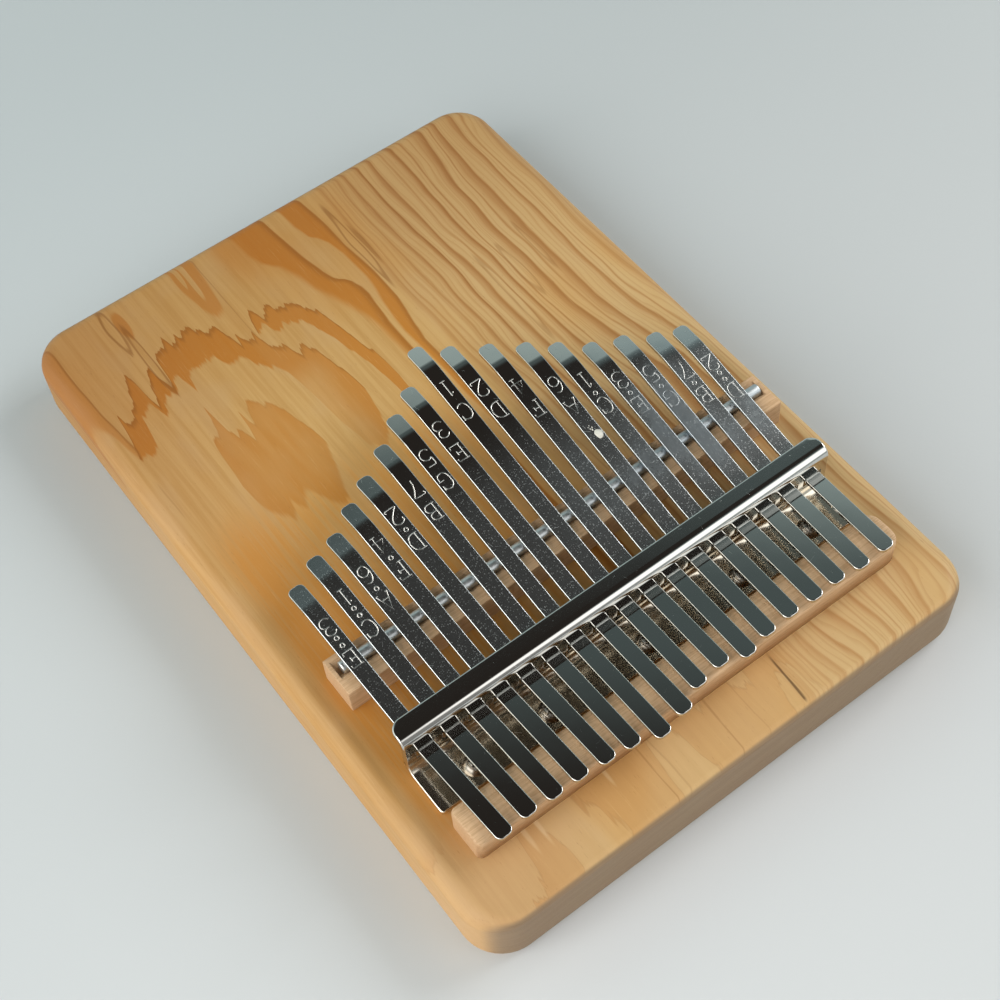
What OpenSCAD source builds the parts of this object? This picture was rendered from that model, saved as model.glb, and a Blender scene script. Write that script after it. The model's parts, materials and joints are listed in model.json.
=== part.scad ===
// Flat-board thumb piano with 17 keys.
// Units are millimetres. The origin is at the centre of the board's underside.
// +X runs from the first key to the last, +Y from the keys' tails to their tips, +Z up.

/* [Board] */
// Width of the sound board, across the keys
board_width = 134; // [130:1:150]
// Length of the sound board, along the keys
board_length = 190; // [186:1:220]
// Thickness of the sound board
board_thickness = 18; // [15:0.5:22]
// Radius of the board's corners seen from above
board_corner = 10; // [6:0.5:14]
// Rounding of the board's upper edge
board_top_round = 4.2; // [2:0.1:5]
// Rounding of the board's lower edge
board_bottom_round = 3; // [2:0.1:4.5]

/* [Keys] */
// Distance between neighbouring keys where they pass the bracket
key_pitch = 6.58; // [6.4:0.01:6.7]
// Width of a key
key_width = 4.05; // [3.8:0.05:4.2]
// Thickness of a key
key_thickness = 1; // [0.8:0.05:1.1]
// Corner radius at both ends of a key
key_corner = 1.4; // [0.8:0.1:1.8]
// Height of the keys' upper face above the board at the bracket
key_height = 7.25; // [7.1:0.05:7.35]
// Climb of the tail behind the bracket, in degrees
tail_angle = 3.57; // [3.4:0.01:3.7]
// Climb of the playing part in front of the bracket, in degrees
rise_angle = 8.81; // [8.7:0.01:8.9]
// Dip of the flattened tip below level, in degrees
tip_dip = 1.4; // [0:0.1:5]
// Length of the flattened tip
tip_length = 6.96; // [5:0.01:9]

/* [Saddle and rod] */
// Left end of the saddle
saddle_left = -59; // [-60:0.1:-58]
// Right end of the saddle
saddle_right = 60.9; // [60:0.1:61.5]
// Depth of the saddle along the keys
saddle_depth = 10.15; // [9.5:0.05:11]
// Height of the saddle above the board
saddle_height = 7.38; // [7.3:0.01:7.5]
// Diameter of the rod
rod_diameter = 3; // [2.9:0.01:3]
// Height of the rod's axis above the board
rod_height = 7.1; // [7:0.01:7.1]

/* [Rear bridge] */
// Left end of the rear bridge
bridge_left = -57.56; // [-59:0.01:-56]
// Right end of the rear bridge
bridge_right = 56.82; // [56:0.01:59]
// Height of the rear bridge's front edge
bridge_front_height = 6.25; // [6:0.01:6.3]
// Height of the rear bridge's rear edge
bridge_rear_height = 6.79; // [6.5:0.01:6.85]
// Rise of the crowned top above the straight line between its edges
bridge_crown = 0.74; // [0.5:0.01:0.76]

/* [Bracket] */
// Left end of the bracket
bracket_left = -58; // [-59:0.1:-57.5]
// Right end of the bracket
bracket_right = 57.2; // [57:0.1:59]
// Thickness of the bracket's sheet
sheet = 1.5; // [1.3:0.1:1.6]
// Height of the lip's upper face above the board
lip_height = 13.63; // [12.5:0.01:15]
// Depth of the lip from the wall's rear face to its front edge
lip_depth = 5.73; // [5:0.01:7]
// Depth of the base plate from the wall's rear face to its rear edge
plate_depth = 12; // [11:0.1:13]

/* [Screws] */
// Diameter of the round screw head
screw_head = 5.6; // [5:0.1:6]
// Height of the round screw head
screw_head_height = 2.1; // [1.6:0.1:2.4]
// Diameter of the screw's shank
screw_shank = 2.9; // [2.5:0.1:3.2]
// Length of the screw below its head
screw_length = 12; // [8:0.5:13]

/* [Hidden] */
$fn = 48;
key_count = 17;
// Free length of each key from the rod to its tip
tip_reach = [20.1, 23.5, 25.4, 29.4, 32.9, 37, 41.5, 45.4, 52.9,
  48.8, 44.3, 39.8, 35.6, 31.1, 28.4, 24.7, 22.5];
// Length of each key's tail behind the middle of the bracket's wall
tail_reach = [27.1, 26.5, 26.7, 26.7, 27.2, 27.7, 29.7, 28.3, 25.5,
  24.7, 26.5, 25.3, 24.9, 25.1, 24.9, 25.5, 25.3];
// How far each key leans towards the last key, in degrees
key_lean = [-2.2, -1.9, -1.8, -1.6, -1.5, -0.5, -0.2, -0.3, 0.4,
  0.1, 1.1, 1.7, 1.3, 1.2, 1.6, 1.9, 1.2];
// How far each key sits off the even spacing
key_shift = [-0.1, 0.1, 0, 0, 0, 0, -0.15, 0, 0, 0, -0.15, -0.1, -0.1, 0, 0.1, 0.15, 0.4];
// The middle key's place on the board
middle_key_x = -0.2;

// Lines across the board, along Y
rod_y = -29.9;
wall_rear_y = -55.41;
wall_mid_y = wall_rear_y + sheet / 2;
saddle_front_y = -26.3;
saddle_rear_y = saddle_front_y - saddle_depth;
bridge_front_y = -69.36;
bridge_rear_y = -79.71;
screw_y = -62.8;

// Keys: distances from the middle of the bracket's wall
rod_reach = rod_y - wall_mid_y;
rise_start = 8.36;
soft_bend_radius = 40;
tip_bend_radius = 2;
bend_steps = 4;
split_gap = 0.1;

// Bracket
fold_radius = 2.75;
lip_bend_radius = 2;
lip_corner = 2.8;
plate_corner = 1;
slot_width = key_width + 0.45;
slot_top = key_height + 0.2;
slot_size = 3.15;

// Saddle
saddle_lean = 0.3;
groove_depth = saddle_height - rod_height + rod_diameter / 2 * sqrt(2) + 0.02;
groove_left = saddle_left + 1.1;
groove_right = saddle_right - 1.3;
rod_left = groove_left + 1.1;
rod_right = groove_right - 0.3;
rod_end_round = 0.5;

// Rear bridge: the circle through its two top edges and its crown
bridge_left_corner = 1.2;
bridge_right_corner = 3;
bridge_depth = bridge_front_y - bridge_rear_y;
bridge_drop = bridge_rear_height - bridge_front_height;
bridge_chord = sqrt(bridge_depth * bridge_depth + bridge_drop * bridge_drop);
crown_radius = (bridge_chord * bridge_chord / 4 + bridge_crown * bridge_crown) / (2 * bridge_crown);
crown_tilt = atan(bridge_drop / bridge_depth);
crown_y = (bridge_front_y + bridge_rear_y) / 2 - (crown_radius - bridge_crown) * sin(crown_tilt);
crown_z = (bridge_front_height + bridge_rear_height) / 2 - (crown_radius - bridge_crown) * cos(crown_tilt);

// Screws: the keys they sit under, the head's dome and its cross recess
screw_keys = [1, 4, 8, 12, 15];
dome_radius = (screw_head * screw_head / 4 + screw_head_height * screw_head_height) / (2 * screw_head_height);
recess_width = 0.8;
recess_length = 2.9;
recess_depth = 1.1;
screw_point = 2;

steel = [0.78, 0.79, 0.78];
softwood = [0.79, 0.62, 0.43];
hardwood = [0.80, 0.63, 0.49];

// Where key i passes the bracket's wall
function key_x(i) = middle_key_x + key_pitch * (i - (key_count - 1) / 2) + key_shift[i];

// One bend of a key's upper face: points with their headings, from heading a0 to a1 about corner p
function bend(p, a0, a1, r) =
  let (side = a1 > a0 ? 1 : -1)
  let (start = p - r * tan(abs(a1 - a0) / 2) * [cos(a0), sin(a0)])
  [for (k = [0 : bend_steps])
    let (a = a0 + (a1 - a0) * k / bend_steps)
    [start + side * r * [sin(a) - sin(a0), cos(a0) - cos(a)], a]];

// The upper face of a key from its tail to its tip
function upper_face(tail, tip) =
  let (wall = [-sheet / 2, key_height])
  let (rise = [rise_start, key_height])
  let (knee_run = tip - tip_length * cos(tip_dip) - rise_start)
  let (knee = rise + knee_run * [1, tan(rise_angle)])
  let (tail_run = tail + wall[0])
  concat(
    [[wall + tail_run * [-1, tan(tail_angle)], -tail_angle]],
    bend(wall, -tail_angle, 0, soft_bend_radius),
    bend(rise, 0, rise_angle, soft_bend_radius),
    bend(knee, rise_angle, -tip_dip, tip_bend_radius),
    [[knee + tip_length * [cos(tip_dip), -sin(tip_dip)], -tip_dip]]);

// Side outline of a key: the upper face, and the same face moved in by the thickness
module key_side(tail, tip) {
  face = upper_face(tail, tip);
  last = len(face) - 1;
  polygon(concat(
    [for (k = [0 : last]) face[k][0]],
    [for (k = [last : -1 : 0]) face[k][0] + key_thickness * [sin(face[k][1]), -cos(face[k][1])]]));
}

// A bar seen from above, from y0 to y1, with corner radius r0 at its start and r1 at its end
module bar_plan(width, y0, y1, r0, r1) {
  for (end = [[y0, 1, r0], [y1, -1, r1]]) {
    r = end[2];
    if (r > 0) {
      for (side = [-1, 1])
        translate([side * (width / 2 - r), end[0] + end[1] * r])
          circle(r);
      translate([-width / 2 + r, min(end[0], end[0] + end[1] * r)])
        square([width - 2 * r, r]);
    }
  }
  translate([-width / 2, y0 + r0])
    square([width, y1 - y0 - r0 - r1]);
}

// A solid whose outline in the Y-Z plane is the child, running from x0 to x1
module along_x(x0, x1) {
  translate([x0, 0, 0])
    rotate([90, 0, 90])
      linear_extrude(x1 - x0)
        children();
}

// The part of key i between y0 and y1, measured from the wall, with its end corners rounded
module key_part(i, y0, y1, r0, r1) {
  translate([key_x(i), wall_mid_y, board_thickness])
    rotate([0, 0, -key_lean[i]])
      intersection() {
        along_x(-key_width, key_width)
          key_side(tail_reach[i], rod_reach + tip_reach[i]);
        linear_extrude(4 * key_height)
          bar_plan(key_width, y0, y1, r0, r1);
      }
}

// The anchored part of key i: its tail, the part in the slot and the part up to the rod
module shank(i) {
  key_part(i, -tail_reach[i], rod_reach - split_gap / 2, key_corner, 0);
}

// The played part of key i, from the rod to its tip
module tongue(i) {
  key_part(i, rod_reach + split_gap / 2, rod_reach + tip_reach[i], 0, key_corner);
}

// Rounded cross-section of the board, given its full width
module board_section(width) {
  half = width / 2;
  translate([-half, board_bottom_round])
    square([width, board_thickness - board_top_round - board_bottom_round]);
  translate([-half + board_top_round, board_thickness / 2])
    square([width - 2 * board_top_round, board_thickness / 2]);
  translate([-half + board_bottom_round, 0])
    square([width - 2 * board_bottom_round, board_thickness / 2]);
  for (side = [-1, 1]) {
    translate([side * (half - board_top_round), board_thickness - board_top_round])
      circle(board_top_round);
    translate([side * (half - board_bottom_round), board_bottom_round])
      circle(board_bottom_round);
  }
}

// Shank of a base-plate screw below z, which is also the shape of its pilot hole
module screw_body(k, z) {
  bottom = board_thickness + sheet - screw_length;
  translate([key_x(screw_keys[k]), screw_y, bottom]) {
    translate([0, 0, screw_point])
      cylinder(h = z - bottom - screw_point, d = screw_shank);
    cylinder(h = screw_point, d1 = 0.6, d2 = screw_shank);
  }
}

// One round-head screw with a cross recess
module screw(k) {
  seat = board_thickness + sheet;
  union() {
    translate([key_x(screw_keys[k]), screw_y, seat])
      difference() {
        translate([0, 0, screw_head_height - dome_radius])
          sphere(dome_radius);
        translate([-screw_head, -screw_head, -2 * screw_head])
          cube([2 * screw_head, 2 * screw_head, 2 * screw_head]);
        for (turn = [45, 135])
          rotate([0, 0, turn])
            translate([-recess_length / 2, -recess_width / 2, screw_head_height - recess_depth])
              cube([recess_length, recess_width, 2 * recess_depth]);
      }
    screw_body(k, seat);
  }
}

// Side outline of the bent bracket, from its base plate to its lip
module bracket_side() {
  fold_y = wall_rear_y - fold_radius;
  fold_z = sheet + fold_radius;
  bend_y = wall_rear_y + lip_bend_radius;
  bend_z = lip_height - lip_bend_radius;
  translate([wall_rear_y - plate_depth, 0])
    square([fold_y - wall_rear_y + plate_depth, sheet]);
  translate([wall_rear_y, fold_z])
    square([sheet, bend_z - fold_z]);
  translate([bend_y, lip_height - sheet])
    square([lip_depth - lip_bend_radius, sheet]);
  intersection() {
    difference() {
      translate([fold_y, fold_z]) circle(fold_radius + sheet);
      translate([fold_y, fold_z]) circle(fold_radius);
    }
    translate([fold_y, 0]) square([fold_radius + sheet, fold_z]);
  }
  intersection() {
    difference() {
      translate([bend_y, bend_z]) circle(lip_bend_radius);
      translate([bend_y, bend_z]) circle(lip_bend_radius - sheet);
    }
    translate([wall_rear_y, bend_z]) square([lip_bend_radius, lip_bend_radius]);
  }
}

module board() {
  straight_x = board_width - 2 * board_corner;
  straight_y = board_length - 2 * board_corner;
  color(softwood)
    difference() {
      union() {
        translate([0, straight_y / 2, 0])
          rotate([90, 0, 0])
            linear_extrude(straight_y)
              board_section(board_width);
        along_x(-straight_x / 2, straight_x / 2)
          board_section(board_length);
        for (sx = [-1, 1])
          for (sy = [-1, 1])
            translate([sx * straight_x / 2, sy * straight_y / 2, 0])
              rotate_extrude()
                intersection() {
                  board_section(2 * board_corner);
                  square([board_corner, board_thickness]);
                }
      }
      for (k = [0 : len(screw_keys) - 1])
        screw_body(k, board_thickness + 1);
    }
}

module saddle() {
  color(hardwood)
    translate([0, 0, board_thickness])
      difference() {
        along_x(saddle_left, saddle_right)
          polygon([
            [saddle_rear_y, 0],
            [saddle_front_y, 0],
            [saddle_front_y, saddle_height],
            [saddle_rear_y + saddle_lean, saddle_height]]);
        along_x(groove_left, groove_right)
          polygon([
            [rod_y, saddle_height - groove_depth],
            [rod_y + 2 * groove_depth, saddle_height + groove_depth],
            [rod_y - 2 * groove_depth, saddle_height + groove_depth]]);
      }
}

module saddle_rod() {
  radius = rod_diameter / 2;
  color(steel)
    translate([rod_left, rod_y, board_thickness + rod_height])
      rotate([0, 90, 0])
        rotate_extrude() {
          translate([0, rod_end_round])
            square([radius, rod_right - rod_left - 2 * rod_end_round]);
          square([radius - rod_end_round, rod_right - rod_left]);
          for (z = [rod_end_round, rod_right - rod_left - rod_end_round])
            translate([radius - rod_end_round, z])
              circle(rod_end_round);
        }
}

module rear_bridge() {
  middle = (bridge_left + bridge_right) / 2;
  width = bridge_right - bridge_left;
  color(hardwood)
    translate([0, 0, board_thickness])
      intersection() {
        along_x(bridge_left, bridge_right)
          intersection() {
            translate([bridge_rear_y, 0])
              square([bridge_depth, 2 * bridge_rear_height]);
            translate([crown_y, crown_z])
              circle(crown_radius);
          }
        linear_extrude(2 * bridge_rear_height)
          translate([middle, (bridge_front_y + bridge_rear_y) / 2])
            rotate([0, 0, -90])
              bar_plan(bridge_depth, -width / 2, width / 2, bridge_left_corner, bridge_right_corner);
      }
}

module bracket() {
  middle = (bracket_left + bracket_right) / 2;
  width = bracket_right - bracket_left;
  color(steel)
    translate([0, 0, board_thickness])
      difference() {
        intersection() {
          along_x(bracket_left, bracket_right)
            bracket_side();
          translate([middle, 0, 0])
            linear_extrude(2 * lip_height)
              bar_plan(width, wall_rear_y - plate_depth, wall_rear_y + lip_depth, plate_corner, lip_corner);
        }
        for (i = [0 : key_count - 1])
          translate([key_x(i) - slot_width / 2, wall_rear_y - sheet, slot_top - slot_size])
            cube([slot_width, 3 * sheet, slot_size]);
        for (k = screw_keys)
          translate([key_x(k), screw_y, -1])
            cylinder(h = sheet + 2, d = screw_shank + 0.4);
      }
}

module screw_1() {
  color(steel) screw(0);
}

module screw_2() {
  color(steel) screw(1);
}

module screw_3() {
  color(steel) screw(2);
}

module screw_4() {
  color(steel) screw(3);
}

module screw_5() {
  color(steel) screw(4);
}

module shank_01() {
  color(steel) shank(0);
}

module shank_02() {
  color(steel) shank(1);
}

module shank_03() {
  color(steel) shank(2);
}

module shank_04() {
  color(steel) shank(3);
}

module shank_05() {
  color(steel) shank(4);
}

module shank_06() {
  color(steel) shank(5);
}

module shank_07() {
  color(steel) shank(6);
}

module shank_08() {
  color(steel) shank(7);
}

module shank_09() {
  color(steel) shank(8);
}

module shank_10() {
  color(steel) shank(9);
}

module shank_11() {
  color(steel) shank(10);
}

module shank_12() {
  color(steel) shank(11);
}

module shank_13() {
  color(steel) shank(12);
}

module shank_14() {
  color(steel) shank(13);
}

module shank_15() {
  color(steel) shank(14);
}

module shank_16() {
  color(steel) shank(15);
}

module shank_17() {
  color(steel) shank(16);
}

module tongue_01() {
  color(steel) tongue(0);
}

module tongue_02() {
  color(steel) tongue(1);
}

module tongue_03() {
  color(steel) tongue(2);
}

module tongue_04() {
  color(steel) tongue(3);
}

module tongue_05() {
  color(steel) tongue(4);
}

module tongue_06() {
  color(steel) tongue(5);
}

module tongue_07() {
  color(steel) tongue(6);
}

module tongue_08() {
  color(steel) tongue(7);
}

module tongue_09() {
  color(steel) tongue(8);
}

module tongue_10() {
  color(steel) tongue(9);
}

module tongue_11() {
  color(steel) tongue(10);
}

module tongue_12() {
  color(steel) tongue(11);
}

module tongue_13() {
  color(steel) tongue(12);
}

module tongue_14() {
  color(steel) tongue(13);
}

module tongue_15() {
  color(steel) tongue(14);
}

module tongue_16() {
  color(steel) tongue(15);
}

module tongue_17() {
  color(steel) tongue(16);
}

board();
saddle();
saddle_rod();
rear_bridge();
bracket();
screw_1();
screw_2();
screw_3();
screw_4();
screw_5();
shank_01();
shank_02();
shank_03();
shank_04();
shank_05();
shank_06();
shank_07();
shank_08();
shank_09();
shank_10();
shank_11();
shank_12();
shank_13();
shank_14();
shank_15();
shank_16();
shank_17();
tongue_01();
tongue_02();
tongue_03();
tongue_04();
tongue_05();
tongue_06();
tongue_07();
tongue_08();
tongue_09();
tongue_10();
tongue_11();
tongue_12();
tongue_13();
tongue_14();
tongue_15();
tongue_16();
tongue_17();
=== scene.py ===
import json
import math
import bmesh
import bpy
from mathutils import Matrix, Vector


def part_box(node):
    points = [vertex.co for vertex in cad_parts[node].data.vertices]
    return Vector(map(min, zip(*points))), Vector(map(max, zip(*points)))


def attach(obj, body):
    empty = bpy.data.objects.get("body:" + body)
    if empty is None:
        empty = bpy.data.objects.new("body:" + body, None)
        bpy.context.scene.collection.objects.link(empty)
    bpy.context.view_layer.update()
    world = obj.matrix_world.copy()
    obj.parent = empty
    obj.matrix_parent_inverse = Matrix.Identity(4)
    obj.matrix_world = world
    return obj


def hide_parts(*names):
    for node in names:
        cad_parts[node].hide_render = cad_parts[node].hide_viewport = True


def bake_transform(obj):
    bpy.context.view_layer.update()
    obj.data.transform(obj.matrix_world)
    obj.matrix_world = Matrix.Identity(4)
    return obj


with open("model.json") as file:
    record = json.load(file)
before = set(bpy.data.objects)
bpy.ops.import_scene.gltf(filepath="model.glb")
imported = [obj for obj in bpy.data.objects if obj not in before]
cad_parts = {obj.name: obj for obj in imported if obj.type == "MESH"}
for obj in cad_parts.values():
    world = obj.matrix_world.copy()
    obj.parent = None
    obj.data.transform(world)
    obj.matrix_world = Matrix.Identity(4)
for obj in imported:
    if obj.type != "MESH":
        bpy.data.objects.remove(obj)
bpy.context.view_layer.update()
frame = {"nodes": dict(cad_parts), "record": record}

MM = 0.001


# ---------------------------------------------------------------- node graphs
class S:
    """A node's output that can be used in arithmetic, which adds Math nodes."""

    def __init__(self, net, socket):
        self.net = net
        self.socket = socket

    def __add__(self, other):
        return self.net.math("ADD", self, other)

    def __sub__(self, other):
        return self.net.math("SUBTRACT", self, other)

    def __rsub__(self, other):
        return self.net.math("SUBTRACT", other, self)

    def __mul__(self, other):
        return self.net.math("MULTIPLY", self, other)

    def __neg__(self):
        return self * -1.0

    __radd__ = __add__
    __rmul__ = __mul__


class Net:
    """Short calls for building a shader or world node tree."""

    def __init__(self, tree):
        self.tree = tree
        tree.nodes.clear()

    def add(self, kind, **settings):
        node = self.tree.nodes.new(kind)
        for name, value in settings.items():
            setattr(node, name, value)
        return node

    def out(self, node, name=0):
        return S(self, node.outputs[name])

    def put(self, socket, value):
        """Links an output to a socket, or sets the socket to a constant."""
        if isinstance(value, S):
            self.tree.links.new(value.socket, socket)
        else:
            socket.default_value = value

    def math(self, op, *args):
        node = self.add("ShaderNodeMath", operation=op)
        for k, value in enumerate(args):
            self.put(node.inputs[k], value)
        return self.out(node)

    def abs(self, v):
        return self.math("ABSOLUTE", v)

    def min(self, a, b):
        return self.math("MINIMUM", a, b)

    def max(self, a, b):
        return self.math("MAXIMUM", a, b)

    def exp(self, v):
        return self.math("EXPONENT", v)

    def ramp(self, v, lo, hi):
        """0 below lo, 1 above hi, smooth between; with lo above hi it falls instead."""
        ends = (hi, lo, 1.0, 0.0) if lo > hi else (lo, hi, 0.0, 1.0)
        node = self.add("ShaderNodeMapRange", interpolation_type="SMOOTHSTEP")
        for k, value in enumerate((v, *ends)):
            self.put(node.inputs[k], value)
        return self.out(node)

    def step(self, v, soft):
        return self.ramp(v, -soft, soft)

    def line(self, v, width):
        """Mask of a thin line where v is near 0."""
        return self.ramp(self.abs(v), width, 0.15 * width)

    def vec(self, *xyz):
        node = self.add("ShaderNodeCombineXYZ")
        for k, value in enumerate(xyz):
            self.put(node.inputs[k], value)
        return self.out(node)

    def xyz(self, v):
        node = self.add("ShaderNodeSeparateXYZ")
        self.put(node.inputs[0], v)
        return [S(self, socket) for socket in node.outputs]

    def normal(self):
        return self.xyz(self.out(self.add("ShaderNodeNewGeometry"), "Normal"))

    def noise(self, v, scale, detail, rough=0.5):
        node = self.add("ShaderNodeTexNoise")
        for name, value in (("Vector", v), ("Scale", scale), ("Detail", detail), ("Roughness", rough)):
            self.put(node.inputs[name], value)
        return self.out(node)

    def streaks(self, xyz, scales, detail, rough=0.5, shift=0.0):
        """Noise stretched by one scale per axis and shifted along z."""
        x, y, z = (v * scale for v, scale in zip(xyz, scales))
        return self.noise(self.vec(x, y, z + shift), 1.0, detail, rough)

    def cells(self, v, scale):
        node = self.add("ShaderNodeTexVoronoi", feature="F1", voronoi_dimensions="3D")
        self.put(node.inputs["Vector"], v)
        self.put(node.inputs["Scale"], scale)
        return node

    def mix(self, share, a, b):
        node = self.add("ShaderNodeMix", data_type="RGBA")
        self.put(node.inputs[0], share)
        for k, color in ((6, a), (7, b)):
            self.put(node.inputs[k], (*color, 1.0) if isinstance(color, tuple) else color)
        return self.out(node, 2)

    def layers(self, color, *coats):
        """Lays (share, colour) coats over a colour in turn."""
        for share, coat in coats:
            color = self.mix(share, color, coat)
        return color

    def vmath(self, op, a, b):
        node = self.add("ShaderNodeVectorMath", operation=op)
        self.put(node.inputs[0], a)
        self.put(node.inputs[3 if op == "SCALE" else 1], b)
        return self.out(node)

    def curve(self, v, pts):
        """Straight runs through given (input, output) pairs, held level beyond both ends."""
        x0, x1 = pts[0][0], pts[-1][0]
        lo, hi = min(q[1] for q in pts), max(q[1] for q in pts)
        node = self.add("ShaderNodeFloatCurve")
        node.mapping.extend = "HORIZONTAL"
        points = node.mapping.curves[0].points
        spots = [((q[0] - x0) / (x1 - x0), (q[1] - lo) / (hi - lo)) for q in pts]
        points[0].location, points[-1].location = spots[0], spots[-1]
        for q in spots[1:-1]:
            points.new(*q)
        for q in points:
            q.handle_type = "VECTOR"
        node.mapping.update()
        self.put(node.inputs["Value"], (v - x0) * (1.0 / (x1 - x0)))
        return self.out(node, "Value") * (hi - lo) + lo

    def object_mm(self, scale=(1, 1, 1)):
        """Object coordinates in millimetres, stretched."""
        node = self.add("ShaderNodeMapping")
        self.put(node.inputs[0], self.out(self.add("ShaderNodeTexCoord"), "Object"))
        self.put(node.inputs["Scale"], [1000.0 * s for s in scale])
        return self.out(node)

    def bump(self, height, distance, strength):
        node = self.add("ShaderNodeBump")
        for name, value in (("Strength", strength), ("Distance", distance), ("Height", height)):
            self.put(node.inputs[name], value)
        return self.out(node)

    def scratches(self, p, cell, length, width, seed, keep):
        """Mask of one short straight scratch in a share of the cells of a Voronoi grid. p is in mm."""
        q = self.vmath("ADD", p, (seed * 7.3, seed * 3.1, seed * 1.7))
        cells = self.cells(q, 1.0 / cell)
        turn, size, chance = self.xyz(self.out(cells, "Color"))
        dx, dy, _ = self.xyz(self.vmath("SUBTRACT", q, self.out(cells, "Position")))
        c = self.math("COSINE", turn * 6.2832)
        s = self.math("SINE", turn * 6.2832)
        along = self.abs(dx * c + dy * s)
        across = self.abs(dy * c - dx * s)
        run = self.ramp(along - size * length, 0.0, -0.1 * length)
        return self.ramp(across, width, 0.3 * width) * run * self.ramp(chance, 1.0 - keep, 1.0 - keep + 0.02)


def principled(name, roughness, metallic=0.0):
    m = bpy.data.materials.new(name)
    m.use_nodes = True
    net = Net(m.node_tree)
    out = net.add("ShaderNodeOutputMaterial")
    bsdf = net.add("ShaderNodeBsdfPrincipled")
    net.put(out.inputs[0], net.out(bsdf))
    net.put(bsdf.inputs["Roughness"], roughness)
    net.put(bsdf.inputs["Metallic"], metallic)
    return m, net, bsdf.inputs


# ---------------------------------------------------------------- meshes
def quarter(n):
    """Angles from 0 to 90 degrees in n steps."""
    return [math.radians(90 * k / n) for k in range(n + 1)]


def ring_faces(rings, n, first=0):
    """Quads between neighbouring closed rings of n vertices each."""
    faces = []
    for j in range(rings - 1):
        for k in range(n):
            a, b = first + j * n + k, first + j * n + (k + 1) % n
            faces.append((a, b, b + n, a + n))
    return faces


def new_mesh(name, verts, faces, normals=None, mats=(), face_mats=None):
    """A smooth mesh object from millimetre vertices, with exact normals where they are given."""
    me = bpy.data.meshes.new(name)
    me.from_pydata([(v[0] * MM, v[1] * MM, v[2] * MM) for v in verts], [], faces)
    me.validate()
    for m in mats:
        me.materials.append(m)
    if face_mats:
        me.polygons.foreach_set("material_index", face_mats)
    me.polygons.foreach_set("use_smooth", [True] * len(me.polygons))
    me.update()
    if normals:
        me.normals_split_custom_set_from_vertices([Vector(n).normalized() for n in normals])
    o = bpy.data.objects.new(name, me)
    bpy.context.scene.collection.objects.link(o)
    return o


def turn_out(o, join=None):
    """Joins vertices closer than join, in metres, and turns every face outwards."""
    bm = bmesh.new()
    bm.from_mesh(o.data)
    if join:
        bmesh.ops.remove_doubles(bm, verts=bm.verts, dist=join)
    bmesh.ops.recalc_face_normals(bm, faces=bm.faces)
    bm.to_mesh(o.data)
    bm.free()


def bevelled(o, width):
    """Rounds an object's sharp edges and keeps its flat faces flat."""
    b = o.modifiers.new("edges", "BEVEL")
    b.width = width * MM
    b.segments = 3
    b.limit_method = "ANGLE"
    b.angle_limit = math.radians(35)
    w = o.modifiers.new("flats", "WEIGHTED_NORMAL")
    w.weight = 80


# ---------------------------------------------------------------- camera
def make_camera():
    """Camera fitted to the board's corners, the key ends and the bracket ends in the photo."""
    cam = bpy.data.cameras.new("camera")
    cam.sensor_fit = "HORIZONTAL"
    cam.sensor_width = 36.0
    cam.lens = 63.477
    cam.clip_start, cam.clip_end = 0.01, 20.0
    o = bpy.data.objects.new("camera", cam)
    target = Vector((0.280, -8.739, 9.4))
    az, el, roll = (math.radians(a) for a in (-33.076, 57.224, -4.587))
    distance = 410.136
    back = Vector((math.sin(az) * math.cos(el), -math.cos(az) * math.cos(el), math.sin(el)))
    right = (-back).cross(Vector((0, 0, 1))).normalized()
    up = right.cross(-back)
    tilted_right = math.cos(roll) * right + math.sin(roll) * up
    tilted_up = -math.sin(roll) * right + math.cos(roll) * up
    m = Matrix((tilted_right, tilted_up, back)).transposed().to_4x4()
    m.translation = (target + back * distance) * MM
    o.matrix_world = m
    bpy.context.scene.collection.objects.link(o)
    bpy.context.scene.camera = o


make_camera()
bpy.context.scene.view_settings.view_transform = "Standard"


# ---------------------------------------------------------------- light
def make_world():
    """Studio seen in the plating: a dark ceiling, a window behind on the right and pale walls."""
    world = bpy.data.worlds.new("studio")
    bpy.context.scene.world = world
    world.use_nodes = True
    net = Net(world.node_tree)
    ramp = net.ramp
    out = net.add("ShaderNodeOutputWorld")
    background = net.add("ShaderNodeBackground")
    net.put(out.inputs[0], net.out(background))
    x, y, z = net.xyz(net.out(net.add("ShaderNodeTexCoord"), "Generated"))
    sill = net.max((0.36 - x) * 2.1, 0.0) + 0.14
    window = ramp(x, 0.10, 0.22) * ramp(y, -0.24, -0.38) * ramp(z, 0.82, 0.72) * ramp(z - sill, 0.0, 0.18)
    front = ramp(z, 0.816, 0.745) * ramp(y, 0.02, 0.25)
    rear = ramp(y, 0.0, -0.2)
    haze = ramp(z, 0.876, 0.826) * ramp(net.abs(y), -0.1, 0.3) * (0.088 + rear * 0.035)
    haze = haze * (1.0 - rear * ramp(x, 0.38, 0.26))
    left = ramp(x, -0.15, -0.6) * ramp(z, 0.75, 0.45)
    behind = ramp(y, -0.3, -0.7) * ramp(z, 0.9, 0.6)
    color = (0.025, 0.021, 0.018)
    for tint, share in (((0.86, 1.04, 1.00), front * 0.44), ((0.67, 0.98, 1.00), haze),
                        ((1.00, 0.98, 0.95), window * 1.3), ((1.00, 0.92, 0.78), left),
                        ((0.95, 0.95, 0.93), behind * 0.28)):
        color = net.vmath("ADD", color, net.vmath("SCALE", tint, share))
    net.put(background.inputs[0], color)


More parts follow.
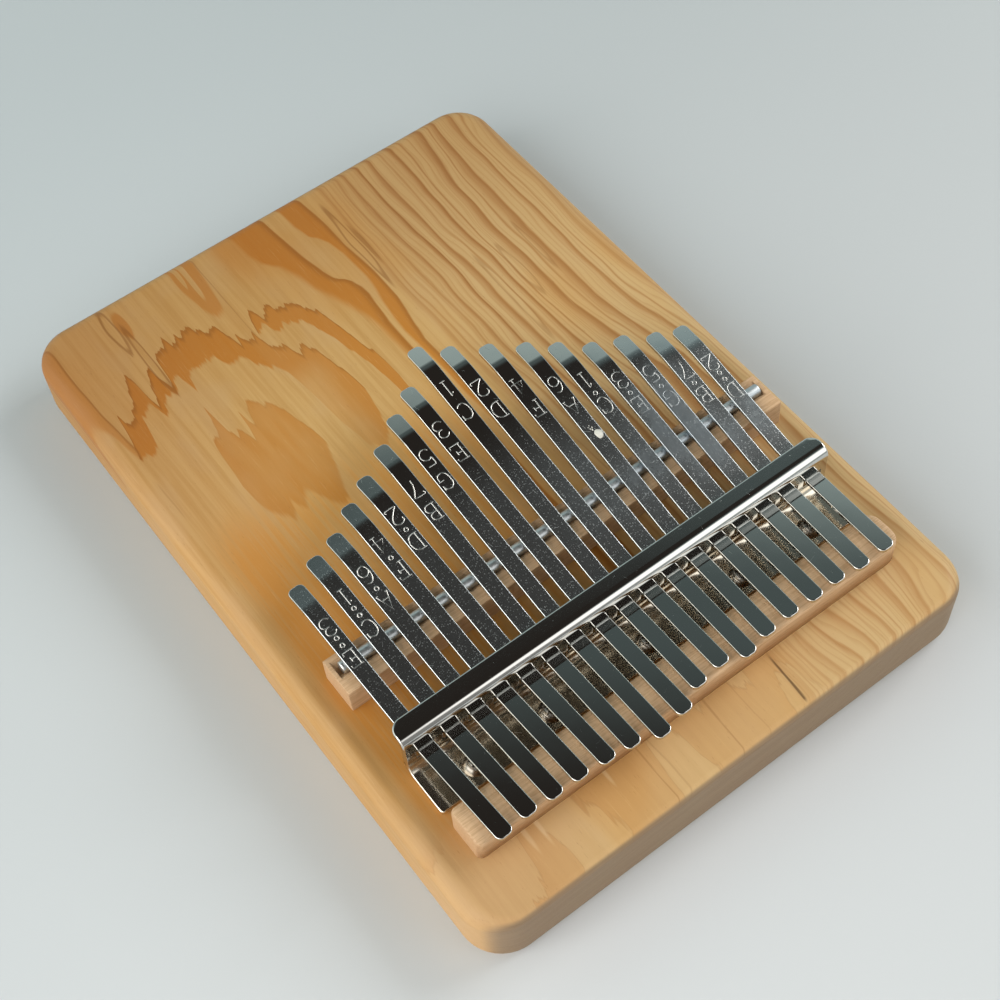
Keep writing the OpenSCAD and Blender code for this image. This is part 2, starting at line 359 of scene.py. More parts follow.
def area_light(name, place, size, power, color):
    """Square soft light aimed at the origin; place and size in metres."""
    data = bpy.data.lights.new(name, "AREA")
    data.energy = power
    data.color = color
    data.size = size
    o = bpy.data.objects.new(name, data)
    o.location = place
    o.rotation_euler = (-Vector(place)).to_track_quat("-Z", "Y").to_euler()
    bpy.context.scene.collection.objects.link(o)


make_world()
area_light("key", (1.10, -0.12, 0.80), 0.7, 10.5, (1.0, 0.96, 0.91))
area_light("fill", (-1.15, -0.15, 0.75), 1.3, 15.0, (1.0, 0.97, 0.93))


def paper():
    """Pale backdrop paper, with painted light falloff: whiter near the camera and a little darker on the
    right.
    """
    m, net, s = principled("paper", 0.75)
    p = net.object_mm()
    x, y, _ = net.xyz(p)
    # Painted light falloff: the paper is whiter towards the camera and darker towards the right.
    near = net.ramp(y + net.noise(p, 0.004, 2.0) * 40.0, 250.0, -150.0)
    tone = net.mix(near, (0.48, 0.54, 0.57), (0.672, 0.708, 0.742))
    net.put(s["Base Color"], net.vmath("SCALE", tone, 1.0 - net.ramp(x, -60.0, 200.0) * 0.13))
    net.put(s["Normal"], net.bump(net.noise(p, 0.9, 3.0, 0.6), 0.00005, 0.3))
    net.put(s["Specular IOR Level"], 0.25)
    return m


def make_floor():
    """Round floor just under the board."""
    n, height = 96, -0.05
    rings = (120, 240, 480, 1000, 3000.0)
    verts = [(0.0, 0.0, height)]
    for r in rings:
        for k in range(n):
            a = 2 * math.pi * k / n
            verts.append((r * math.cos(a), r * math.sin(a), height))
    faces = [(0, 1 + k, 1 + (k + 1) % n) for k in range(n)]
    faces += [(d, c, b, a) for a, b, c, d in ring_faces(len(rings), n, 1)]
    o = new_mesh("floor", verts, faces, mats=[paper()])


make_floor()


# ---------------------------------------------------------------- materials
# Edges of the grain figure on the board's top, in millimetres: the arch, the lobe beside it and the heart
# as (across, along), then the long bands and the left edge's band as (along, across)
ARCH_TOP = [(-62.4, 47), (-61.6, 48), (-61, 51), (-60.2, 56), (-59.5, 62), (-59, 58), (-57, 58.5),
    (-55, 61), (-54, 66), (-53, 69), (-52, 72), (-51.3, 69), (-50.9, 61), (-50.2, 57.5), (-49, 62),
    (-48, 66), (-47, 68.5), (-46.4, 70), (-46, 65), (-45, 61.5), (-44.3, 63), (-43.6, 70), (-42, 72),
    (-40.5, 72.5), (-39.2, 76), (-38.5, 72), (-37.5, 71.5), (-36.3, 75.5), (-35.5, 73), (-34, 74.3),
    (-32.5, 74), (-31.5, 72.5), (-30.6, 73.5), (-30, 70), (-29, 69.3), (-27.5, 70.2), (-26.5, 67),
    (-25.5, 63.5), (-25, 60.5), (-24.5, 65), (-23.5, 62.5), (-21.6, 60.3), (-20.8, 64), (-20.2, 60),
    (-19.8, 57), (-19, 55.5), (-18, 56), (-17, 55), (-16, 52.5), (-15, 50), (-14, 52.5), (-13, 51),
    (-12, 50), (-11, 47), (-10.3, 42), (-9.6, 39), (-9, 34), (-8.6, 28), (-8.4, 24)]
ARCH_LOW = [(-62.4, 50), (-61.6, 48), (-60, 47.5), (-59, 45.5), (-58, 47), (-57, 48), (-56, 50), (-55, 57),
    (-53, 59.5), (-51.5, 60), (-51, 57), (-50, 53.3), (-49, 56), (-48, 58), (-46, 59.5), (-45, 58.5),
    (-44, 61), (-42, 62.5), (-41.5, 60), (-40.7, 55.5), (-40, 61.5), (-38, 62.3), (-32, 62.3), (-31, 60),
    (-30, 58), (-28, 56.5), (-27, 58), (-26, 57), (-25, 53), (-24, 52.5), (-22, 50), (-20.5, 48),
    (-19.5, 38), (-18.5, 26), (-17, 17), (-14, 14), (-12, 18), (-10, 24), (-9, 31), (-8.4, 34)]
LOBE_TOP = [(-20.4, 56), (-20, 61), (-19.3, 65), (-18.6, 68), (-18, 70), (-17.2, 68), (-16.5, 65.5),
    (-15.8, 65), (-14.3, 67.8), (-13.5, 67.3), (-12.5, 66), (-11.5, 65.3), (-8.5, 65), (-7.5, 63.5),
    (-5.5, 59.5), (-4.5, 57.5), (-3.8, 54), (-3, 51), (-2.5, 47), (-2, 43), (-1.4, 40), (-0.8, 39.5),
    (-0.4, 35), (0, 22)]
LOBE_LOW = [(-20.4, 62), (-19.3, 61), (-18, 63.5), (-17.5, 64), (-16.5, 61), (-15.5, 59), (-14, 59.3),
    (-12, 60), (-11, 59), (-9, 58), (-8, 55), (-7, 52), (-6, 49), (-5.3, 45), (-4.6, 41), (-3.6, 37),
    (-3, 33), (-2.6, 27), (-2.2, 16), (-1, 16), (-0.4, 26), (0, 32)]
HEART_TOP = [(-47, 22), (-46.4, 31), (-46, 37), (-45.5, 40), (-44.5, 42.5), (-43.5, 41.5), (-43, 44),
    (-42.4, 47), (-42, 51), (-41.6, 47), (-41.2, 42), (-40.5, 40), (-40, 37.5), (-39.2, 40.5),
    (-38.5, 39.5), (-38, 37.5), (-37.4, 35.5), (-36.8, 38), (-36.3, 45), (-35.8, 41), (-35, 39.5),
    (-34, 44), (-33.2, 46.5), (-32.5, 45.5), (-31.5, 45), (-30.5, 43.5), (-29.5, 43), (-28.5, 41.5),
    (-27.5, 39), (-26.6, 36), (-25.8, 32), (-25, 28), (-24.4, 22)]
HEART_LOW = [(-47, 28), (-46.4, 22), (-46, 19), (-45, 16.5), (-44, 14.5), (-43, 12.5), (-42, 11.5),
    (-41, 13.5), (-40, 16.5), (-39.2, 14), (-38, 12.5), (-37, 15), (-35.5, 17.5), (-34.5, 15), (-33.5, 12),
    (-32, 9), (-30.5, 8), (-29, 9.5), (-28, 14), (-27, 17), (-26, 20), (-25, 24), (-24.4, 28)]
THIRD_LEFT = [(-20, 4.5), (20, 5.3), (35, 4.9), (40, 4.4), (45, 4.2), (50, 3.3), (55, 1.8), (60, 0.2),
    (65, -1.8), (70, -3), (76, -4.8), (80, -8), (84, -9), (92, -9.5)]
THIRD_RIGHT = [(-20, 7), (35, 7.2), (45, 7.2), (50, 7.9), (55, 8.5), (58, 8.3), (61, 7.4), (62.5, 6.2),
    (63.5, 5), (65, 4.1), (68, 3.2), (75, 2.1), (82, 1.4), (92, 0.4)]
FOURTH_LEFT = [(-20, 9.4), (30, 9.1), (40, 8.6), (45, 9), (50, 9.7), (55, 10.5), (60, 10.8), (70, 10.6),
    (75, 9.8), (78, 8.3), (80, 6.6), (85, 5.6), (92, 5.6)]
FOURTH_RIGHT = [(-20, 11.6), (30, 11.3), (35, 11), (40, 11.5), (45, 12.6), (50, 13.3), (60, 13.6),
    (70, 13.1), (80, 12.5), (92, 11.2)]
EDGE_LEFT = [(44, -60.8), (47, -61.3), (52, -62.4), (60, -64), (70, -66), (92, -68)]
EDGE_RIGHT = [(44, -61.8), (47, -61.3), (50, -60.9), (57, -61.5), (65, -62.1), (75, -62.7), (92, -62.5)]
# Strength of the straight rings over the distance across the grain
RINGS = [(14, 0), (15.7, 0.1), (17, 0.55), (17.5, 0.1), (18.1, 0.15), (18.4, 0.6), (18.7, 0.1), (19.9, 0.1),
    (20.2, 0.4), (20.5, 0.05), (21.6, 0.15), (22, 0.7), (22.4, 0.1), (23.5, 0.2), (24.7, 0.85), (25.1, 0.2),
    (26.4, 0.1), (26.7, 0.25), (27.1, 0.15), (28, 0.3), (28.9, 1), (29.3, 0.15), (30.6, 0.1), (31.4, 0.45),
    (32.5, 0.9), (32.9, 0.1), (34.9, 0.1), (35.4, 0.65), (35.8, 0.1), (36.9, 0.3), (38.1, 1), (38.5, 0.1),
    (39.9, 0.15), (40.3, 0.75), (40.7, 0.1), (42, 0.1), (42.3, 0.45), (42.6, 0.1), (43.8, 0.4),
    (45.6, 0.95), (46.1, 0.1), (48, 0.1), (48.4, 0.7), (48.8, 0.2), (50, 0.5), (51.3, 0.9), (51.8, 0.1),
    (53.8, 0.1), (54.1, 0.3), (54.5, 0.1), (55.6, 0.35), (56.7, 0.85), (57.1, 0.1), (58.5, 0.1),
    (58.9, 0.65), (59.3, 0.05), (61.5, 0.1), (63.5, 0.6), (64.2, 0.2), (66, 0.4), (67, 0.1)]
# Outlines of single grain lines: centre, radii, line width and strength
OVAL_LINES = [(-45.0, 72.0, 0.9, 11.5, 0.35, 1.0), (-47.3, 84.5, 1.2, 7.5, 0.32, 1.0),
              (14.8, 70.0, 0.8, 14.0, 0.35, 1.0), (49.6, 42.0, 0.7, 8.0, 0.4, 0.6),
              (35.3, 32.0, 0.8, 14.0, 0.35, 0.6), (42.0, 38.0, 1.1, 9.0, 0.3, 0.6)]
# Straight lines behind the rear bridge: place across, width and strength
STRIP_LINES = [(-17.4, 0.3, 1.0), (-14.3, 0.3, 0.6), (0.3, 0.3, 1.0), (7.2, 0.25, 0.5)]
PALE_OVALS = [(-46.8, -80.0, 0.9, 7.0), (-43.6, -79.0, 0.8, 8.0), (-26.0, -80.0, 0.6, 5.0)]


class Grain:
    """Coordinates in millimetres and the waviness that the parts of the board's figure share."""

    def __init__(self, net):
        self.net = net
        self.point = net.object_mm()
        self.xyz = self.x, self.y, self.z = net.xyz(self.point)
        self.depth = 18.0 - self.z
        self.fine = self.wave((1.7, 0.05, 0.8), 2.0)
        self.wander = self.wave((0.07, 0.030, 0.1), 1.5, 3.0)
        self.waver = self.wave((0.35, 0.060, 0.1), 1.0, 5.0)
        self.saw = self.wave((0.9, 0.02, 0.3), 1.0, 2.0)
        self.x1 = self.x + self.wander * 1.2 + self.waver * 1.2 + self.depth * 0.8
        self.y1 = self.y + self.fine * 3.0 + self.saw * 5.0 + self.depth * 3.0
        self.low = net.ramp(self.y, -68.0, -78.0)

    def wave(self, scales, detail, shift=0.0):
        return self.net.streaks(self.xyz, scales, detail, 0.5, shift) - 0.5

    def oval(self, cx, cy, rx, ry):
        """0 at the centre of an upright oval and 1 on its outline."""
        u = (self.x1 - cx) * (1.0 / rx)
        v = (self.y + self.fine * 4.0 - cy) * (1.0 / ry)
        return self.net.math("SQRT", u * u + v * v)

    def band(self, along, across, near, far, near_soft, far_soft):
        """Mask between two outlines, and the distance to the far one."""
        net = self.net
        gap = net.curve(along, far) - across
        return net.step(gap, far_soft) * net.ramp(across - net.curve(along, near), *near_soft), gap


def dark_figure(g):
    """Masks of the filled dark figure, and of its darker rims and single lines."""
    net, x, y, x1, y1, ramp = g.net, g.x, g.y, g.x1, g.y1, g.net.ramp
    arch, arch_gap = g.band(x, y1, ARCH_LOW, ARCH_TOP, (-0.8, 1.0), 0.35)
    lobe, lobe_gap = g.band(x, y1, LOBE_LOW, LOBE_TOP, (-0.5, 0.8), 0.35)
    heart, heart_gap = g.band(x, y1, HEART_LOW, HEART_TOP, (-1.4, 1.4), 0.6)
    third, third_gap = g.band(y, x1, THIRD_LEFT, THIRD_RIGHT, (-0.6, 1.8), 0.3)
    fourth, fourth_gap = g.band(y, x1, FOURTH_LEFT, FOURTH_RIGHT, (-0.5, 0.5), 0.3)
    edge, edge_gap = g.band(y, x1, EDGE_LEFT, EDGE_RIGHT, (-0.4, 0.4), 0.25)
    leg = ramp(x, -23.0, -20.0) * ramp(y, 50.0, 40.0) * ramp(x + g.waver * 4.0, -10.5, -17.0)
    arch = arch * (1.0 - ramp(x, -26.0, -20.0) * 0.15) * (1.0 - leg * 0.6)
    above_bar = ramp(y, -70.0, -45.0)
    third, fourth = third * above_bar, fourth * above_bar
    tongues = net.max(ramp(g.oval(-24.2, 92.0, 3.8, 21.0), 1.0, 0.85),
                      ramp(g.oval(-44.6, 85.0, 1.7, 6.0), 1.0, 0.7))
    for gap_in_tongue in ((-24.4, 92.0, 0.9, 14.0), (-26.2, 92.0, 0.6, 8.0)):
        tongues = tongues * (1.0 - ramp(g.oval(*gap_in_tongue), 1.0, 0.8))
    smear = ramp(y, 72.0, 88.0) * ramp(x, -18.0, -13.0) * ramp(x, 0.5, -0.5)
    solid = net.min(arch + lobe * 0.95 + third + fourth + edge * 0.62 + tongues * 0.75 + smear * 0.45, 1.0)
    solid = net.max(solid, heart * (0.60 + ramp(g.waver, -0.15, 0.15) * 0.16))
    ys = y + g.fine * 5.0 + (g.saw + g.waver) * 9.0
    spots = net.noise(net.vec(x1 * 0.115 + 3.0, ys * 0.035, 0.7), 1.0, 0.5, 0.4)
    spotted = g.low * ramp(x, 30.0, 15.0)
    solid = net.max(solid, ramp(spots, 0.505, 0.52) * spotted * 0.24)

    rim = net.line(spots - 0.512, 0.012) * spotted * 0.30
    for mask, gap, width in ((arch, arch_gap, 2.6), (lobe, lobe_gap, 2.2), (heart * 0.3, heart_gap, 1.6),
                             (third, third_gap, 2.2), (fourth, fourth_gap, 1.5), (edge, edge_gap, 0.7)):
        rim = rim + mask * ramp(gap, width, 0.0)
    for *oval, width, share in OVAL_LINES:
        rim = rim + net.line(g.oval(*oval) - 1.0, width) * share
    for place, width, share in STRIP_LINES:
        rim = rim + net.line(x1 - place, width) * g.low * (share * 0.6)
    rim = rim + ramp(g.oval(16.7, 69.0, 0.9, 10.0), 1.0, 0.5) * 0.8
    rim = rim + net.line(x1 + 20.6, 0.25) * ramp(y, 60.0, 64.0) * 0.6
    rim = rim + net.line(x1 + 61.8, 0.3) * ramp(y, 26.0, 30.0) * ramp(y, 41.0, 37.0) * 0.4
    return solid, net.min(rim, 1.0)


def straight_rings(g):
    """Masks of the near-straight rings on the right, bowed in mid-board, and of the hairs between."""
    net, x, y = g.net, g.x, g.y
    bow = net.abs(y - 46.0) * (1.0 / 42.0)
    bow = net.min(bow * bow, 1.6) * (x - 8.0) * 0.058
    turn = (x - 54.0) * (1.0 / 9.0)
    sag = (y + 96.0) * (1.0 / 13.0)
    swirl = net.exp(-(turn * turn + sag * sag)) * 5.0 - net.exp(-(sag * sag)) * net.ramp(x, 5.0, 40.0) * 3.0
    u = x + g.wander * 4.2 + g.waver * 1.5 - bow + swirl + g.depth * 1.2
    rings = net.curve(u, RINGS) * net.ramp(u, 13.5, 15.5) * (1.0 - g.low * 0.35)
    hair = net.math("FRACT", u * (1.0 / 1.35) + g.wander * 2.0)
    hairs = net.ramp(hair, 0.5, 0.9) * net.ramp(hair, 1.0, 0.93) * net.ramp(x, 14.0, 20.0)
    return rings, hairs


def pale_wood(g, streak):
    """Colour of the wood between the dark figure, with a warmer middle that is partly the wood's amber tone
    and partly painted light between the keys.
    """
    net, x, y, ramp = g.net, g.x, g.y, g.net.ramp
    warm = net.streaks(g.xyz, (0.05, 0.02, 0.05), 2.0)
    grey = net.streaks(g.xyz, (0.11, 0.05, 0.1), 2.0, 0.6, 9.0)
    # Amber middle under the keys: the wood's own amber tone, strengthened as painted light between the keys.
    amber_and_painted_light = ramp(y, 26.0, 8.0) * ramp(y, -84.0, -60.0) * ramp(x, 20.0, -6.0) * ramp(x, -63.0, -59.0)
    side = ramp(x, -40.0, -54.0) * ramp(y, 20.0, -30.0) * 0.34
    return net.layers(net.mix(ramp(streak, 0.32, 0.66), (0.520, 0.300, 0.108), (0.585, 0.362, 0.150)),
                      (ramp(grey, 0.45, 0.70) * 0.40, (0.560, 0.365, 0.190)),
                      (ramp(y, -60.0, -84.0) * 0.6, (0.62, 0.420, 0.235)),
                      (ramp(x, 6.0, 36.0) * 0.75, (0.600, 0.420, 0.222)),
                      (ramp(warm, 0.50, 0.72) * 0.35, (0.56, 0.280, 0.075)),
                      (amber_and_painted_light * net.min(0.18 + side + ramp(streak, 0.42, 0.58) * 0.52, 0.9),
                       (0.575, 0.255, 0.046)))


def board_wood():
    """Flat-sawn softwood: one long oval heart on the left, near-straight rings on the right."""
    m, net, s = principled("board_wood", 0.45)
    ramp = net.ramp
    g = Grain(net)
    x, y = g.x, g.y
    solid, rim = dark_figure(g)
    rings, hairs = straight_rings(g)
    fibre = net.streaks(g.xyz, (3.0, 0.12, 3.0), 3.0, 0.6)
    streak = net.streaks(g.xyz, (0.8, 0.02, 0.8), 3.0, 0.6)
    canal = net.streaks(g.xyz, (4.5, 0.42, 4.5), 1.0)
    dark = net.mix(net.noise(g.point, 0.02, 3.0), (0.430, 0.158, 0.017), (0.530, 0.215, 0.030))
    crack = net.line(x - 18.0 - (y + 87.0) * 0.06 + g.fine * 0.6, 0.34)
    crack = crack * ramp(y, -94.0, -92.5) * ramp(y, -79.0, -83.0)
    pale = 0.0
    for oval in PALE_OVALS:
        pale = ramp(g.oval(*oval), 1.0, 0.4) + pale
    c = net.layers(pale_wood(g, streak),
                   (solid * (0.74 + streak * 0.4), dark),
                   (rings * 0.78, (0.445, 0.185, 0.040)),
                   (rings * rings * 0.66, (0.26, 0.100, 0.022)),
                   (hairs * 0.26, (0.40, 0.18, 0.05)),
                   (rim * 0.56, (0.25, 0.090, 0.012)),
                   (ramp(fibre, 0.60, 0.8) * 0.24, (0.36, 0.18, 0.06)),
                   (ramp(fibre, 0.42, 0.25) * 0.18, (0.74, 0.52, 0.28)),
                   (ramp(canal, 0.70, 0.78) * 0.35, (0.28, 0.13, 0.04)),
                   (crack * 0.85, (0.12, 0.055, 0.02)),
                   (pale * 0.5, (0.74, 0.56, 0.36)))
    # Painted light falloff towards the far end (darker and warmer there), and painted shade along the left
    # side.
    far = net.mix(ramp(y, 10.0, 95.0), (1.02, 1.04, 0.96), (0.77, 0.71, 0.57))
    painted_left_shade = net.mix(ramp(x, -28.0, -60.0), (1.0, 1.0, 1.0), (0.91, 0.85, 0.85))
    c = net.vmath("MULTIPLY", net.vmath("MULTIPLY", c, far), painted_left_shade)
    slow = g.wave((0.035, 0.013, 0.03), 1.0)
    # End faces turned along the board get a dark end-grain colour, made darker still as painted shade on
    # these faces.
    end = ramp(net.abs(net.normal()[1]), 0.45, 0.85)
    end_grain = net.streaks(g.xyz, (0.04, 0.3, 2.4), 3.0, 0.65, slow * 5.0)
    c = net.mix(end * 0.88, c, net.mix(end_grain, (0.17, 0.115, 0.070), (0.33, 0.235, 0.150)))
    net.put(s["Base Color"], c)
    net.put(s["Roughness"], 0.42 + fibre * 0.22)
    height = fibre * 0.5 + rings * 0.4 + solid * 0.3 + net.noise(g.point, 2.5, 2.0) * 0.3
    net.put(s["Normal"], net.bump(height, 0.00010, 0.4))
    net.put(s["Specular IOR Level"], 0.35)
    return m


def bridge_wood():
    """Pinkish hardwood of both bars, with short dark flecks and painted shade on the faces turned to the
    left.
    """
    m, net, s = principled("bridge_wood", 0.55)
    xyz = net.xyz(net.object_mm())
    grain = net.streaks(xyz, (0.05, 0.9, 0.9), 3.0, 0.6)
    fleck = net.streaks(xyz, (0.5, 3.2, 3.2), 3.0, 0.6)
    bands = net.ramp(net.math("FRACT", grain * 5.0), 0.3, 0.9)
    c = net.layers(net.mix(bands, (0.66, 0.445, 0.265), (0.56, 0.36, 0.20)),
                   (net.ramp(fleck, 0.62, 0.75) * 0.45, (0.42, 0.23, 0.12)),
                   (net.ramp(fleck, 0.4, 0.25) * 0.3, (0.80, 0.58, 0.40)),
                   # Painted shade on faces turned to the left, darkening the bars' left ends.
                   (net.ramp(net.normal()[0], -0.35, -0.85) * 0.55, (0.42, 0.25, 0.135)))
    net.put(s["Base Color"], c)
    net.put(s["Roughness"], 0.5 + fleck * 0.2)
    net.put(s["Normal"], net.bump(fleck + grain * 0.5, 0.0001, 0.4))
    net.put(s["Specular IOR Level"], 0.3)
    return m


def plating(name, base, rough, haze, scratch, specks=0.5, grain=0.25, sheet=0.0):
    """Nickel plate: a mirror with fine speckle, a haze by the bracket whose bluish tint is painted sky
    reflection, and short scratches.
    """
    m, net, s = principled(name, rough, 1.0)
    ramp = net.ramp
    p = net.object_mm()
    x, y, z = net.xyz(p)
    rub = net.noise(net.object_mm((1.3, 0.5, 1.3)), 1.0, 3.0, 0.65)
    grit = net.noise(p, 4.6, 1.0, 0.6)
    zone = ramp(x, -8.0, 30.0) * ramp(y, -48.0, -36.0) * ramp(y, 10.0, -12.0)
    # Hazy patches of scratch wear: their roughness is real, their blue-grey colour is painted reflection of
    # the lights.
    patch = ramp(net.noise(p, 0.045, 3.0), 0.34, 0.66) * zone * (0.45 + grit * 0.6)
    before_bracket = ramp(y, -62.0, -48.0)
    cells = net.cells(p, 2.2)
    pin = ramp(net.out(cells, "Distance"), 0.42, 0.16) * ramp(net.xyz(net.out(cells, "Color"))[0], 0.05, 1.0)
    pin = pin * (0.25 + ramp(y, 8.0, -18.0) * 0.75) * before_bracket
    scuff = net.max(net.scratches(p, 4.5, 1.1, 0.045, 1, 0.30), net.scratches(p, 2.2, 0.5, 0.035, 2, 0.22))
    # Haze towards the bracket: real roughness, with a bluish colour painted in as sky reflection.
    haze_with_painted_sky = ramp(y, 6.0, -20.0) * ramp(y, -60.0, -48.0) * specks
    # Painted reflection of the wood: a cream tint on the bracket's base plate and lower wall, where sheet is
    # set.
    plate = ramp(z, 23.6, 20.6) * ramp(y, -46.0, -52.0) * sheet
    underside = ramp(net.normal()[2], 0.0, -0.5)
    soft = rough + haze_with_painted_sky * 0.34 + patch * (0.35 + rub * 0.5) * haze + pin * specks * 0.30 + scuff * 0.16
    c = net.layers(base,
                   (patch * 0.85, (0.165, 0.215, 0.265)),
                   (haze_with_painted_sky, (0.50, 0.58, 0.64)),
                   (plate * 0.6, (0.88, 0.77, 0.60)),
                   (net.max(scuff * 0.2, pin * specks * 0.4), (0.90, 0.88, 0.84)))
    net.put(s["Base Color"], c)
    net.put(s["Roughness"], soft + underside * 0.16 + plate * 0.12)
    height = (grit * grain + scuff * scratch) * before_bracket + net.noise(p, 0.16, 1.0) * 1.2
    net.put(s["Normal"], net.bump(height, 0.00002, 0.3))
    return m


def dried_paint():
    m, net, s = principled("dried_paint", 0.45)
    p = net.object_mm()
    net.put(s["Base Color"], net.mix(net.noise(p, 1.5, 2.0), (0.62, 0.62, 0.56), (0.78, 0.78, 0.73)))
    net.put(s["Normal"], net.bump(net.noise(p, 2.5, 2.0), 0.00003, 0.5))
    return m


M_BOARD = board_wood()
M_BRIDGE = bridge_wood()
M_KEY = plating("key_plating", (0.66, 0.66, 0.64), 0.05, 0.20, 0.8, 0.5, 0.10)
# sheet=1.0 gives the bracket its painted cream wood reflection.
M_BRACKET = plating("bracket_plating", (0.68, 0.67, 0.64), 0.04, 0.05, 0.8, 0.2, 0.05, 1.0)
M_ROD = plating("rod_plating", (0.70, 0.69, 0.67), 0.20, 0.1, 0.5)
M_SCREW = plating("screw_plating", (0.30, 0.28, 0.25), 0.26, 0.2, 0.6)
M_STAMP = plating("stamped_plating", (0.70, 0.69, 0.66), 0.18, 0.2, 0.4, 0.1)
M_DROP = dried_paint()


# ---------------------------------------------------------------- board
def rounded_rectangle(lx, ly, corner):
    """Arc centres and outward normals around a rounded rectangle, with 15 points on each straight run."""
    signs = ((1, -1, -90), (1, 1, 0), (-1, 1, 90), (-1, -1, 180))
    centres = [(sx * (lx - corner), sy * (ly - corner)) for sx, sy, _ in signs]
    outline = []
    for i, (_, _, start) in enumerate(signs):
        for k in range(11):
            a = math.radians(start + 90 * k / 10)
            outline.append((centres[i], (math.cos(a), math.sin(a))))
        here, there = Vector(centres[i]), Vector(centres[(i + 1) % 4])
        outline += [(tuple(here.lerp(there, k / 16)), outline[-1][1]) for k in range(1, 16)]
    return outline


def make_board():
    """Rounded board: rings of its outline, moved in where the edges roll over. Returns its thickness."""
    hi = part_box("board")[1]
    lx, ly, thick = hi.x / MM, hi.y / MM, hi.z / MM
    corner, top_r, low_r, near_drop = 10.0, 4.2, 3.0, 2.2
    # inset and distance from the face as shares of the edge radius, upward share of the normal, is upper
    levels = [(1 - math.sin(a), 1 - math.cos(a), -math.cos(a), False) for a in quarter(6)]
    levels += [(1 - math.cos(a), 1 - math.sin(a), math.sin(a), True) for a in quarter(8)]
    outline = rounded_rectangle(lx, ly, corner)
    verts, normals = [], []
    for share, rise, up, upper in levels:
        flat = math.sqrt(max(0.0, 1 - up * up))
        for (cx, cy), (dx, dy) in outline:
            # the upper edge is sharper at the board's near end
            edge = top_r - near_drop * max(0.0, -dy) ** 3 if upper else low_r
            r = corner - share * edge
            height = thick - rise * edge if upper else rise * edge
            verts.append((cx + dx * r, cy + dy * r, height))
            normals.append((dx * flat, dy * flat, up))
    n = len(outline)
    faces = ring_faces(len(levels), n)
    faces.append(tuple(reversed(range(n))))
    faces.append(tuple(range(len(verts) - n, len(verts))))
    o = new_mesh("sound_board", verts, faces, normals, [M_BOARD])
    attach(o, "base")
    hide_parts("board")
    return thick


T = make_board()


# ---------------------------------------------------------------- bridges
def make_saddle():
    """Front bar with a V groove that stops short of both ends."""
    lo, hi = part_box("saddle")
    x0, x1, y0, y1, h = lo.x / MM, hi.x / MM, lo.y / MM, hi.y / MM, hi.z / MM
    rod_lo, rod_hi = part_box("saddle_rod")
    ry = (rod_lo.y + rod_hi.y) / 2 / MM
    deep, n = 2.42, 7
    groove_start, groove_end = x0 + 1.1, x1 - 1.3
    sections = ((x0, 0.0), (groove_start, 0.0), (groove_start, deep), (groove_end, deep), (groove_end, 0.0),
                (x1, 0.0))
    verts = []
    for x, dip in sections:
        verts += [(x, y0, T), (x, y1, T), (x, y1, h), (x, ry + deep, h), (x, ry, h - dip), (x, ry - deep, h),
                  (x, y0 + 0.3, h)]
    faces = []
    for a in (0, 2, 4):
        for k in range(n):
            i, j = a * n + k, a * n + (k + 1) % n
            faces.append((j, i, i + n, j + n))
    faces.append((n + 3, n + 4, n + 5, 2 * n + 4))
    faces.append((4 * n + 5, 4 * n + 4, 4 * n + 3, 3 * n + 4))
    faces.append(tuple(range(n)))
    faces.append(tuple(reversed(range(5 * n, 6 * n))))
    o = new_mesh("front_saddle", verts, faces, mats=[M_BRIDGE])
    turn_out(o, 1e-6)
    bevelled(o, 0.22)
    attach(o, "base")
    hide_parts("saddle")


make_saddle()


def make_rear_bridge():
    """Rear bar with a crowned top, ends rounded in plan and rounded upper edges."""
    lo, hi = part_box("rear_bridge")
    x0, x1, y0, y1 = lo.x / MM, hi.x / MM, lo.y / MM, hi.y / MM
    front_h, rear_h, crown, edge, left_r, right_r = 6.25, 6.79, 0.74, 0.6, 1.6, 3.0
    chord = math.hypot(y1 - y0, rear_h - front_h)
    rad = (chord * chord / 4 + crown * crown) / (2 * crown)
    tilt = math.atan2(rear_h - front_h, y1 - y0)
    cy = (y0 + y1) / 2 - (rad - crown) * math.sin(tilt)
    cz = (front_h + rear_h) / 2 - (rad - crown) * math.cos(tilt)

    def end(x):
        """Corner radius of the nearer end, and the distance to it."""
        return (left_r, x - x0) if x < (x0 + x1) / 2 else (right_r, x1 - x)

    def inset(x):
        r, d = end(x)
        return r - math.sqrt(max(0.0, r * r - (r - d) ** 2)) if d < r else 0.0

    def top(x, y):
        r, d = end(x)
        gap = min(y - y0, y1 - y)
        if d < r and gap < r:
            d = r - math.hypot(r - d, r - gap)
        d = min(max(min(d, gap), 0.0), edge)
        sink = edge - math.sqrt(edge * edge - (edge - d) ** 2)
        return T + cz + math.sqrt(rad * rad - (y - cy) ** 2) - sink

    offs = [0.0, 0.04, 0.14, 0.3, edge]
    xs = {x0 + d for d in offs} | {x1 - d for d in offs}
    for a in quarter(8)[1:]:
        xs |= {x0 + left_r * (1 - math.cos(a)), x1 - right_r * (1 - math.cos(a))}
    xs |= {x0 + left_r + (x1 - x0 - left_r - right_r) * k / 20 for k in range(1, 20)}
    verts = []
    for x in sorted(xs):
        a, b = y0 + inset(x), y1 - inset(x)
        ys = [b - d for d in offs] + [b - edge + (a - b + 2 * edge) * k / 10 for k in range(1, 10)]
        ys += [a + d for d in reversed(offs)]
        verts += [(x, a, T), (x, b, T)] + [(x, y, top(x, y)) for y in ys]
    n = len(verts) // len(xs)
    faces = ring_faces(len(xs), n)
    faces.append(tuple(reversed(range(n))))
    faces.append(tuple(range(len(verts) - n, len(verts))))
    o = new_mesh("rear_bridge_bar", verts, faces, mats=[M_BRIDGE])
    turn_out(o)
    o.modifiers.new("flats", "WEIGHTED_NORMAL").weight = 70
    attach(o, "base")
    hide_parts("rear_bridge")


make_rear_bridge()


